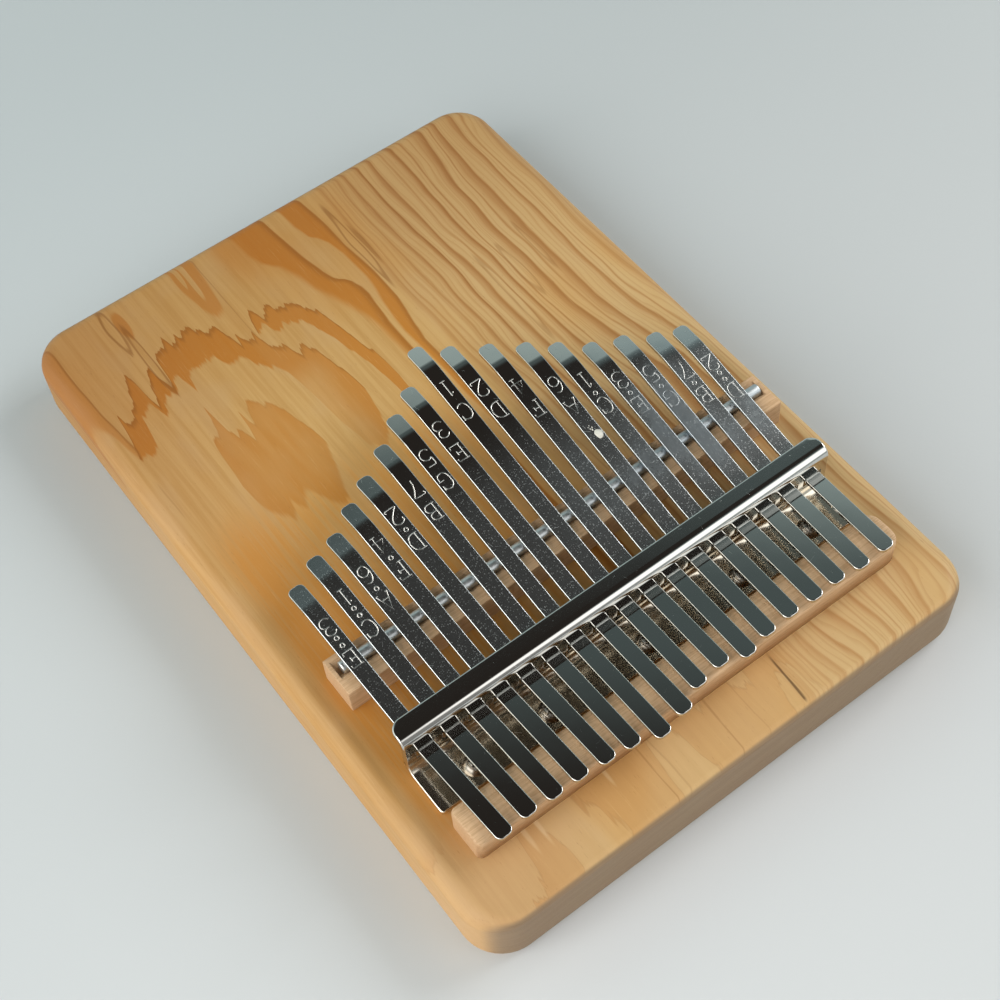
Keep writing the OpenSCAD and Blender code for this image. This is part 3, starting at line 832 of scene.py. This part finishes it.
# ---------------------------------------------------------------- rod
def make_rod():
    """Round rod with rounded ends, turned from a profile of (x, radius)."""
    lo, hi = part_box("saddle_rod")
    x0, x1 = lo.x / MM, hi.x / MM
    cy, cz = (lo.y + hi.y) / 2 / MM, (lo.z + hi.z) / 2 / MM
    r, edge, n = (hi.z - lo.z) / 2 / MM, 0.5, 40
    left = [(x0 + edge * (1 - math.cos(a)), r - edge + edge * math.sin(a)) for a in quarter(5)]
    right = [(x1 - edge * (1 - math.sin(a)), r - edge + edge * math.cos(a)) for a in quarter(5)]
    middle = [(x0 + edge + (x1 - x0 - 2 * edge) * k / 24, r) for k in range(1, 24)]
    profile = [(x0, 0.0)] + left + middle + right + [(x1, 0.0)]
    verts = []
    for x, q in profile:
        for k in range(n):
            a = 2 * math.pi * k / n
            verts.append((x, cy + q * math.cos(a), cz + q * math.sin(a)))
    o = new_mesh("rod", verts, ring_faces(len(profile), n), mats=[M_ROD])
    turn_out(o, 1e-7)
    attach(o, "base")
    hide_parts("saddle_rod")


make_rod()

# ---------------------------------------------------------------- keys
joints = {j["name"]: j for j in frame["record"]["behaviour"]["joints"]}
KEYS = range(17)
KEY_W, KEY_T, KEY_C = 4.05, 1.0, 1.4      # width, thickness and corner radius
WALL_S, RISE_S = -25.51, -16.4            # kinks of the upper face, measured from the rod
TAIL_A, RISE_A, TIP_A = math.radians(-3.57), math.radians(8.81), math.radians(-1.4)
TIP_L = 6.96
KEY_Z = 7.25                              # upper face at the bracket's wall, above the board
SOFT_BEND, KNEE_BEND = 40.0, 18.0


def bend(p, a0, a1, r, steps):
    """Arc of radius r that turns heading a0 into a1 at the corner p."""
    side = 1 if a1 > a0 else -1
    t = r * math.tan(abs(a1 - a0) / 2)
    q = (p[0] - t * math.cos(a0), p[1] - t * math.sin(a0))
    headings = [a0 + (a1 - a0) * k / steps for k in range(steps + 1)]
    return [(q[0] + side * r * (math.sin(a) - math.sin(a0)),
             q[1] + side * r * (math.cos(a0) - math.cos(a)), a) for a in headings]


def key_path(tail, tip):
    """Upper face of a key as (s, z, heading), s measured from the rod and z above the board."""
    run = tip - TIP_L * math.cos(TIP_A) - RISE_S
    knee = (RISE_S + run, KEY_Z + run * math.tan(RISE_A))
    path = [(-tail, KEY_Z + (tail + WALL_S) * math.tan(-TAIL_A), TAIL_A)]
    path += bend((WALL_S, KEY_Z), TAIL_A, 0.0, SOFT_BEND, 6)
    path += bend((RISE_S, KEY_Z), 0.0, RISE_A, SOFT_BEND, 8)
    path += bend(knee, RISE_A, TIP_A, KNEE_BEND, 12)
    path.append((tip, knee[1] + (tip - knee[0]) * math.tan(TIP_A), TIP_A))
    return path


def on_path(path, s):
    """Height and heading of the upper face at s."""
    for a, b in zip(path, path[1:]):
        if s <= b[0]:
            k = (s - a[0]) / (b[0] - a[0])
            return a[1] + (b[1] - a[1]) * k, a[2] + (b[2] - a[2]) * k
    a, b = path[-2], path[-1]
    return a[1] + (b[1] - a[1]) * (s - a[0]) / (b[0] - a[0]), b[2]


class KeyFrame:
    """A key's own coordinates: x across, s forward from the rod, z above the board."""

    def __init__(self, name):
        hinge = joints["pluck_" + name]
        self.ca, self.sa = hinge["axis"][0], -hinge["axis"][1]
        self.px, self.py, self.pz = (c / MM for c in hinge["pos_m"])
        s_lo, t_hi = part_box("shank_" + name)[0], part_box("tongue_" + name)[1]
        slack = (KEY_W / 2 - KEY_C) * abs(self.sa)
        self.tip = (t_hi.y / MM - self.py - slack) / self.ca
        self.tail = -(s_lo.y / MM - self.py + slack) / self.ca
        self.path = key_path(self.tail, self.tip)

    def place(self, x, s, z, nx=0.0, ns=0.0, nz=1.0):
        """Point and normal in the shared frame."""
        ca, sa = self.ca, self.sa
        point = (self.px + x * ca + s * sa, self.py - x * sa + s * ca, T + z)
        return point, (nx * ca + ns * sa, -nx * sa + ns * ca, nz)

    def surface(self, x, s, lift=0.0):
        """Point at a height above the key's upper face, and that face's normal."""
        z, a = on_path(self.path, s)
        return self.place(x, s - lift * math.sin(a), z + lift * math.cos(a), 0, -math.sin(a), math.cos(a))


# Strokes of each glyph in a unit square
GLYPHS = {
    "1": [[(.3, .8), (.5, 1), (.5, 0)], [(.28, 0), (.72, 0)]],
    "2": [[(.1, .72), (.14, .9), (.34, 1), (.62, 1), (.84, .88), (.86, .68), (.7, .48), (.36, .22), (.1, 0),
           (.9, 0), (.9, .16)]],
    "3": [[(.12, .84), (.3, .98), (.6, 1), (.82, .88), (.84, .68), (.68, .54), (.42, .52)],
          [(.42, .52), (.72, .5), (.9, .34), (.88, .14), (.68, 0), (.34, 0), (.1, .14)]],
    "4": [[(.68, 0), (.68, 1), (.06, .3), (.96, .3)], [(.48, 0), (.88, 0)]],
    "5": [[(.84, 1), (.24, 1), (.2, .56), (.42, .64), (.68, .6), (.88, .42), (.86, .16), (.64, 0), (.32, 0),
           (.1, .14)]],
    "6": [[(.78, .94), (.56, 1), (.3, .9), (.12, .6), (.12, .28), (.28, .04), (.54, 0), (.8, .1), (.88, .32),
           (.74, .54), (.48, .58), (.22, .46), (.12, .3)]],
    "7": [[(.1, .84), (.1, 1), (.9, 1), (.62, .6), (.44, .26), (.4, 0)]],
    "A": [[(.06, 0), (.5, 1), (.94, 0)], [(.26, .36), (.74, .36)], [(0, 0), (.2, 0)], [(.8, 0), (1, 0)]],
    "B": [[(.04, 0), (.6, 0), (.86, .1), (.9, .28), (.76, .46), (.5, .52), (.2, .52)],
          [(.5, .52), (.76, .6), (.82, .78), (.7, .94), (.5, 1), (.04, 1)], [(.2, 0), (.2, 1)]],
    "C": [[(.9, .72), (.86, .9), (.64, 1), (.4, 1), (.16, .84), (.06, .52), (.12, .2), (.34, .01), (.62, 0),
           (.88, .14)], [(.9, .68), (.9, 1)]],
    "D": [[(.04, 0), (.5, 0), (.8, .12), (.94, .42), (.88, .76), (.66, .96), (.4, 1), (.04, 1)],
          [(.2, 0), (.2, 1)]],
    "E": [[(.92, .18), (.92, 0), (.06, 0)], [(.06, 1), (.9, 1), (.9, .82)], [(.2, 0), (.2, 1)],
          [(.2, .52), (.62, .52)], [(.62, .4), (.62, .64)]],
    "F": [[(.06, 0), (.42, 0)], [(.06, 1), (.9, 1), (.9, .8)], [(.22, 0), (.22, 1)], [(.22, .52), (.64, .52)],
          [(.64, .4), (.64, .64)]],
    "G": [[(.88, .76), (.8, .94), (.58, 1), (.34, .98), (.12, .8), (.06, .5), (.14, .18), (.36, .01),
           (.64, 0), (.86, .12), (.86, .42)], [(.56, .42), (1, .42)], [(.9, .7), (.9, 1)]],
}
# Marks of the keys from left to right: number, octave dots and letter
LABELS = ["3..E", "1..C", "6.A", "4.F", "2.D", "7B", "5G", "3E", "1C", "2D", "4F", "6A", "1.C", "3.E", "5.G",
          "7.B", "2..D"]


def smooth_line(pts, n=4):
    """Rounds a polyline with a Catmull-Rom curve where it has many points."""
    if len(pts) < 5:
        return pts
    out = []
    for k in range(len(pts) - 1):
        p0, p1, p2, p3 = pts[max(k - 1, 0)], pts[k], pts[k + 1], pts[min(k + 2, len(pts) - 1)]
        straight = abs(p2[0] - p1[0]) > 0.55 and abs(p2[1] - p1[1]) < 0.02
        for j in range(n):
            t = j / n
            if straight:
                out.append((p1[0] + (p2[0] - p1[0]) * t, p1[1] + (p2[1] - p1[1]) * t))
                continue
            out.append(tuple(0.5 * (2 * p1[c] + (p2[c] - p0[c]) * t
                             + (2 * p0[c] - 5 * p1[c] + 4 * p2[c] - p3[c]) * t * t
                             + (3 * p1[c] - p0[c] - 3 * p2[c] + p3[c]) * t ** 3) for c in (0, 1)))
    out.append(pts[-1])
    return out


# By number of dots: where the number and letter start below the knee, their heights, and the dots' places
LAYOUTS = {0: ((4.6, 4.3), (11.5, 4.1), ()), 1: ((3.4, 4.3), (11.0, 4.1), (9.4,)),
           2: ((3.3, 4.1), (12.0, 4.0), (8.4, 10.4))}
GLYPH_W = 3.1


def label_strokes(label, knee):
    """Strokes of a key's marks as lists of (x, s). Glyph tops point towards the bracket."""
    number, letter, dots = LAYOUTS[label.count(".")]
    strokes = []
    for glyph, (start, height) in ((label[0], number), (label[-1], letter)):
        for line in GLYPHS[glyph]:
            strokes.append([(-(x - 0.5) * GLYPH_W, knee - start - y * height) for x, y in smooth_line(line)])
    for dot in dots:
        strokes.append([(0.45 * math.cos(a * math.pi / 6), knee - dot + 0.5 * math.sin(a * math.pi / 6))
                        for a in range(13)])
    return strokes


def ribbon(strokes, surface, half=0.125, rise=0.085):
    """Raised rounded lines on a surface: verts, faces, normals."""
    section = ((-1, -0.02), (-0.55, rise * 0.8), (0, rise), (0.55, rise * 0.8), (1, -0.02))
    verts, faces, normals = [], [], []
    for line in strokes:
        closed = math.dist(line[0], line[-1]) < 1e-6
        base = len(verts)
        for k, p in enumerate(line):
            a = line[k - 1] if k else (line[-2] if closed else p)
            b = line[k + 1] if k + 1 < len(line) else (line[1] if closed else p)
            dx, dy = b[0] - a[0], b[1] - a[1]
            d = math.hypot(dx, dy) or 1.0
            nx, ny = -dy / d, dx / d
            for q, lift in section:
                x, s = p[0] + nx * half * q, p[1] + ny * half * q
                point, normal = surface(x, s, lift)
                side = Vector(surface(x + nx, s + ny, lift)[0]) - Vector(point)
                verts.append(point)
                normals.append(Vector(normal) + side * q * 0.9)
        for k in range(len(line) - 1):
            for j in range(4):
                a = base + k * 5 + j
                faces.append((a, a + 5, a + 6, a + 1))
    return verts, faces, normals


# Specks of dried paint on the twelfth key: place across and along, and both radii
DROP_KEY = 11
DROPS = [(0.75, 10.7, 0.95, 1.25), (0.1, 12.3, 0.16, 0.3), (-0.2, 12.7, 0.12, 0.2), (0.35, 12.8, 0.14, 0.2),
         (0.0, 13.5, 0.1, 0.16), (-0.45, 13.2, 0.1, 0.14)]


def drop(cx, cs, rx, rs, surface):
    """Low dome of dried paint on a surface."""
    # share of the radius, lift, and upward share of the normal
    levels = ((1.0, -0.01, 0.35), (0.93, 0.06, 0.6), (0.7, 0.11, 0.85), (0.35, 0.13, 0.97))
    n = 18
    tall = min(1.0, rx * 1.2)
    verts, normals = [], []
    for share, lift, up in levels:
        for k in range(n):
            a = 2 * math.pi * k / n
            wobble = 1 + 0.06 * math.sin(3 * a + 1) + 0.04 * math.sin(5 * a)
            x, s = cx + rx * share * wobble * math.cos(a), cs + rs * share * wobble * math.sin(a)
            point, normal = surface(x, s, lift * tall)
            out = Vector(surface(x + math.cos(a), s + math.sin(a), lift * tall)[0]) - Vector(point)
            verts.append(point)
            normals.append(Vector(normal) * up + out * math.sqrt(1 - up * up))
    point, normal = surface(cx, cs, 0.135 * tall)
    verts.append(point)
    normals.append(normal)
    faces = ring_faces(len(levels), n)
    last = (len(levels) - 1) * n
    faces += [(last + k, last + (k + 1) % n, len(verts) - 1) for k in range(n)]
    return verts, faces, normals


def key_stations(key):
    """Stations from tail to tip: (s, half width, outward normal in plan), with rounded corners."""
    half = KEY_W / 2
    first, last = -key.tail + KEY_C, key.tip - KEY_C
    ends = [(KEY_C * (1 - math.cos(a)), half - KEY_C + KEY_C * math.sin(a), math.sin(a), math.cos(a))
            for a in quarter(8)]
    marks = {round(p[0], 4) for p in key.path if first + 0.1 < p[0] < last - 0.1}
    marks |= {float(k) for k in range(-5, 6)}
    s = first + 3.0
    while s < last - 1.0:
        if min(abs(s - q) for q in marks) > 0.8:
            marks.add(round(s, 4))
        s += 3.0
    stations = [(-key.tail + back, h, (nx, -ns)) for back, h, nx, ns in ends]
    stations += [(s, half, (1.0, 0.0)) for s in sorted(marks)]
    return stations + [(key.tip - back, h, (nx, ns)) for back, h, nx, ns in reversed(ends)]


def key_shell(key):
    """A key's closed strip with rolled edges: verts, faces, normals."""
    edge, under = 0.24, 0.15
    # inset, lift from the upper face, and how far the normal points up
    rings = [(edge * (1 - math.sin(a)), -edge * (1 - math.cos(a)), math.cos(a)) for a in quarter(4)]
    rings += [(under * (1 - math.cos(a)), -KEY_T + under * (1 - math.sin(a)), -math.sin(a))
              for a in quarter(3)]
    stations = key_stations(key)
    verts, normals = [], []
    for inset, lift, up in rings:
        flat = math.sqrt(max(0.0, 1 - up * up))
        for side in (1, -1):
            for s, half, (nx, ns) in stations:
                s2 = s - inset * ns
                z, a = on_path(key.path, s2)
                along = ns * flat
                point, normal = key.place(side * (half - inset * nx), s2 - lift * math.sin(a),
                                          z + lift * math.cos(a), side * nx * flat,
                                          along * math.cos(a) - up * math.sin(a),
                                          along * math.sin(a) + up * math.cos(a))
                verts.append(point)
                normals.append(normal)
    n = len(stations)
    m = 2 * n
    faces = []
    for j in range(len(rings) - 1):
        for side in (0, 1):
            for k in range(n - 1):
                a = j * m + side * n + k
                q = (a, a + 1, a + 1 + m, a + m)
                faces.append(q if side else q[::-1])
        for k, flip in ((0, False), (n - 1, True)):
            a, b = j * m + k, j * m + n + k
            q = (a, b, b + m, a + m)
            faces.append(q[::-1] if flip else q)
    low = (len(rings) - 1) * m
    for k in range(n - 1):
        faces.append((k, k + 1, n + k + 1, n + k))
        faces.append((low + n + k, low + n + k + 1, low + k + 1, low + k))
    return verts, faces, normals


def make_key(i):
    """One key with its stamped marks, as one mesh from tail to tip with smooth bends."""
    name = "%02d" % (i + 1)
    key = KeyFrame(name)
    verts, faces, normals = key_shell(key)
    face_mats = [0] * len(faces)
    extras = [(1, ribbon(label_strokes(LABELS[i], key.tip - TIP_L), key.surface))]
    if i == DROP_KEY:
        extras += [(2, drop(*spot, key.surface)) for spot in DROPS]
    for mat, (extra_verts, extra_faces, extra_normals) in extras:
        base = len(verts)
        verts += extra_verts
        normals += extra_normals
        faces += [tuple(q + base for q in f) for f in extra_faces]
        face_mats += [mat] * len(extra_faces)
    o = new_mesh("key_" + name, verts, faces, normals, [M_KEY, M_STAMP, M_DROP], face_mats)
    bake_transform(o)
    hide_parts("shank_" + name, "tongue_" + name)


for i in KEYS:
    make_key(i)


# ---------------------------------------------------------------- bracket
SHEET, FOLD, ROLL, ROUNDING = 1.5, 2.75, 2.6, 0.42
WALL_Y = -55.41
REAR_R, LIP_R = 1.0, 2.8                  # corner radii of the base plate and of the lip, in plan
SLOT_TOP, SLOT_LOW, SLOT_HALF = KEY_Z + 0.2, KEY_Z + 0.2 - 3.15, (KEY_W + 0.45) / 2
OFFS = [0.0, 0.03, 0.10, 0.22, ROUNDING]


def sheet_path():
    """Steps along the bent sheet, from the base plate's rear edge to the lip's front edge."""
    zs = [SLOT_LOW - d for d in reversed(OFFS)] + [SLOT_LOW + 1.0, SLOT_TOP - 1.0]
    zs += [SLOT_TOP + d for d in OFFS] + [8.9, 10.4]
    path = [("rear", d) for d in OFFS] + [("plate", k / 5) for k in range(1, 6)]
    path += [("fold", a) for a in quarter(10)[1:]] + [("wall", z) for z in zs]
    path += [("roll", a) for a in quarter(10)] + [("lip", k / 4) for k in range(1, 4)]
    return path + [("front", d) for d in reversed(OFFS)]


def bracket_slots():
    """Both sides of each key's slot, where the key's own line meets the middle of the wall."""
    slots = []
    for i in KEYS:
        j = joints["pluck_%02d" % (i + 1)]
        sa, ca = -j["axis"][1], j["axis"][0]
        back = (j["pos_m"][1] / MM - (WALL_Y + SHEET / 2)) / ca
        cx = j["pos_m"][0] / MM - back * sa
        slots.append((cx - SLOT_HALF, cx + SLOT_HALF))
    return slots


class Bracket:
    """The sheet's own shape: its faces, its edges and where they are rounded. All in millimetres."""

    def __init__(self):
        lo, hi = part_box("bracket")
        self.x0, self.x1 = lo.x / MM, hi.x / MM
        self.y_rear, self.y_lip = lo.y / MM, hi.y / MM
        self.lip = hi.z / MM - T
        self.slots = bracket_slots()

    def corner(self, x, r):
        """How far an end corner of radius r pulls an edge back at x."""
        d = min(x - self.x0, self.x1 - x)
        return 0.0 if d >= r else r - math.sqrt(max(0.0, r * r - (r - d) ** 2))

    def frame_at(self, step, x):
        """Point on the upper or rear face, its normal and the way along the sheet, as (y, z) pairs."""
        kind, v = step
        rear, front = self.y_rear + self.corner(x, REAR_R), self.y_lip - self.corner(x, LIP_R)
        bend_y, lip_y = WALL_Y - FOLD, WALL_Y + ROLL
        c, s = math.cos(v), math.sin(v)
        return {
            "rear": ((rear + v, T + SHEET), (0, 1), (1, 0)),
            "plate": ((rear + ROUNDING + (bend_y - rear - ROUNDING) * v, T + SHEET), (0, 1), (1, 0)),
            "fold": ((bend_y + FOLD * s, T + SHEET + FOLD - FOLD * c), (-s, c), (c, s)),
            "wall": ((WALL_Y, T + v), (-1, 0), (0, 1)),
            "roll": ((lip_y - ROLL * c, T + self.lip - ROLL + ROLL * s), (-c, s), (s, c)),
            "lip": ((lip_y + (front - ROUNDING - lip_y) * v, T + self.lip), (0, 1), (1, 0)),
            "front": ((front - v, T + self.lip), (0, 1), (1, 0)),
        }[kind]

    def margin(self, step, x, y):
        """Distance to the nearest edge of the sheet and the way out of it, across and along."""
        kind, v = step
        best = min((x - self.x0, (-1, 0)), (self.x1 - x, (1, 0)))
        if kind in ("rear", "plate", "lip", "front"):
            at_lip = kind in ("lip", "front")
            r, way, gap = (LIP_R, 1, self.y_lip - y) if at_lip else (REAR_R, -1, y - self.y_rear)
            qx, qy = r - best[0], r - gap
            if qx > 0 and qy > 0:
                q = math.hypot(qx, qy)
                return r - q, (best[1][0] * qx / q, way * qy / q)
            best = min(best, (gap, (0, way)))
        if kind == "wall":
            best = min([best] + [slot_margin(slot, x, v) for slot in self.slots], key=lambda found: found[0])
        return best

    def columns(self):
        """Places across the sheet, close together near the ends and the slots."""
        xs = {self.x0 + d for d in OFFS} | {self.x1 - d for d in OFFS}
        for a in quarter(8)[1:-1]:
            for r in (REAR_R, LIP_R):
                xs |= {self.x0 + r * (1 - math.cos(a)), self.x1 - r * (1 - math.cos(a))}
        for s0, s1 in self.slots:
            xs |= {s0 - d for d in OFFS} | {s1 + d for d in OFFS}
        spaced = []
        for x in sorted(xs):
            if not spaced or x - spaced[-1] > 0.012:
                spaced.append(x)
        return spaced

    def is_hole(self, start, end, x):
        if start[0] != "wall" or end[0] != "wall":
            return False
        return SLOT_LOW < (start[1] + end[1]) / 2 < SLOT_TOP and any(a < x < b for a, b in self.slots)


def slot_margin(slot, x, z):
    """Distance to a slot and the way into it."""
    dx, wx = max((slot[0] - x, 1), (x - slot[1], -1))
    dz, wz = max((SLOT_LOW - z, 1), (z - SLOT_TOP, -1))
    ax, az = max(dx, 0.0), max(dz, 0.0)
    d = math.hypot(ax, az)
    if d > 1e-6:
        return d, (wx * ax / d, wz * az / d)
    return d, ((wx, 0) if dx > dz else (0, wz))


def bracket_points(bracket, path, xs):
    """Vertices and normals of both faces of the sheet, sunk towards each other along its edges."""
    verts, normals = [], []
    for front in (True, False):
        for step in path:
            for x in xs:
                (y, z), normal, way = bracket.frame_at(step, x)
                d, out = bracket.margin(step, x, y)
                tilt = max(0.0, ROUNDING - max(d, 0.0)) / ROUNDING
                up = math.sqrt(1 - tilt * tilt)
                sink = ROUNDING - ROUNDING * up
                depth = sink if front else SHEET - sink
                verts.append((x, y - normal[0] * depth, z - normal[1] * depth))
                up = up if front else -up
                normals.append((out[0] * tilt, normal[0] * up + way[0] * out[1] * tilt,
                                normal[1] * up + way[1] * out[1] * tilt))
    return verts, normals


def bracket_faces(bracket, path, xs):
    """Quads of both faces, and of the rims round the sheet and round its slots."""
    n, m = len(xs), len(path)
    solid = {(j, k) for j in range(m - 1) for k in range(n - 1)
             if not bracket.is_hole(path[j], path[j + 1], (xs[k] + xs[k + 1]) / 2)}
    far = n * m
    faces = []
    for j, k in sorted(solid):
        a = j * n + k
        b, c, d = a + 1, a + n, a + n + 1
        faces.append((a, b, d, c))
        faces.append((far + a, far + c, far + d, far + b))
        for beside, p, q in (((j - 1, k), a, b), ((j + 1, k), d, c), ((j, k - 1), c, a), ((j, k + 1), b, d)):
            if beside not in solid:
                faces.append((q, p, far + p, far + q))
    return faces


def make_bracket():
    """Bent sheet: a grid over its length and width, with slots left out and every edge rounded."""
    bracket = Bracket()
    path, xs = sheet_path(), bracket.columns()
    verts, normals = bracket_points(bracket, path, xs)
    faces = bracket_faces(bracket, path, xs)
    used = sorted({i for f in faces for i in f})
    new = {old: i for i, old in enumerate(used)}
    o = new_mesh("bent_bracket", [verts[i] for i in used], [tuple(new[i] for i in f) for f in faces],
                 [normals[i] for i in used], [M_BRACKET])
    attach(o, "base")
    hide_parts("bracket")


make_bracket()

for k in range(1, 6):
    node = frame["nodes"]["screw_%d" % k]
    for s in node.material_slots:
        s.material = M_SCREW
